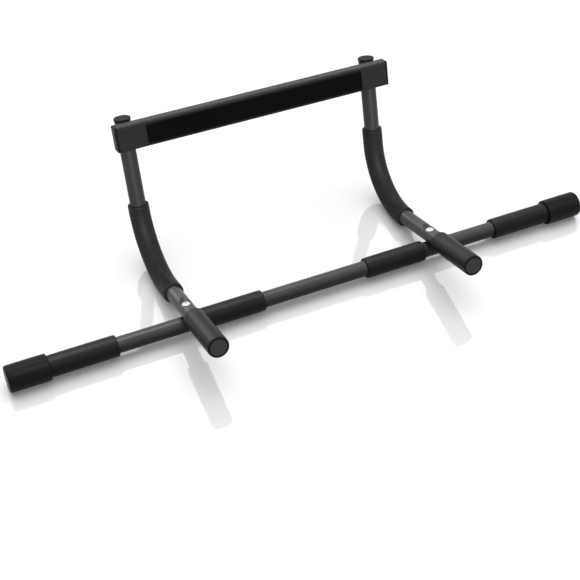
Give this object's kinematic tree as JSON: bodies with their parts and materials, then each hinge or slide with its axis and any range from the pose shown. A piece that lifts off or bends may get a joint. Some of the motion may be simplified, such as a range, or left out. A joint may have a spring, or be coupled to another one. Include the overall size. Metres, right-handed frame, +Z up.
{
  "type": "pull up bar",
  "caption": "Doorway pull up bar: long padded bar, two curved tubes with handles, and a flat wall bar with a rubber strip.",
  "frame": {"origin": "On the floor, at the middle of the overall box, with the part lying on its end pads and bend grips.", "axes": "+X along the long bar, to the right as seen from the handles. +Y from the handles back to the wall bar. +Z up. The uprights lean back from +Z about X."},
  "size_m": [0.97, 0.389, 0.2382],
  "materials": {
    "powder_coat": "satin black powder coat",
    "foam": "matt black closed cell foam",
    "pad_foam": "matt black dense foam",
    "strip_rubber": "smooth black rubber",
    "plug_plastic": "fine grained black plastic",
    "zinc_steel": "bright zinc plated"
  },
  "bodies": {
    "root": {"centre_tube": "powder_coat", "crossing_bolts": "zinc_steel", "crossing_nuts": "zinc_steel", "left_bend_grip": "foam", "left_curved_tube": "powder_coat", "left_end_pad": "pad_foam", "left_handle_grip": "foam", "left_handle_plug": "plug_plastic", "left_inner_grip": "foam", "left_outer_grip": "foam", "left_side_tube": "powder_coat", "left_top_cap": "plug_plastic", "left_wall_bar_plug": "plug_plastic", "right_bend_grip": "foam", "right_curved_tube": "powder_coat", "right_end_pad": "pad_foam", "right_handle_grip": "foam", "right_handle_plug": "plug_plastic", "right_inner_grip": "foam", "right_outer_grip": "foam", "right_side_tube": "powder_coat", "right_top_cap": "plug_plastic", "right_wall_bar_plug": "plug_plastic", "wall_bar": "powder_coat", "wall_bar_bolts": "zinc_steel", "wall_bar_nuts": "zinc_steel", "wall_bar_washers": "plug_plastic", "wall_strip": "strip_rubber"}
  },
  "joints": []
}
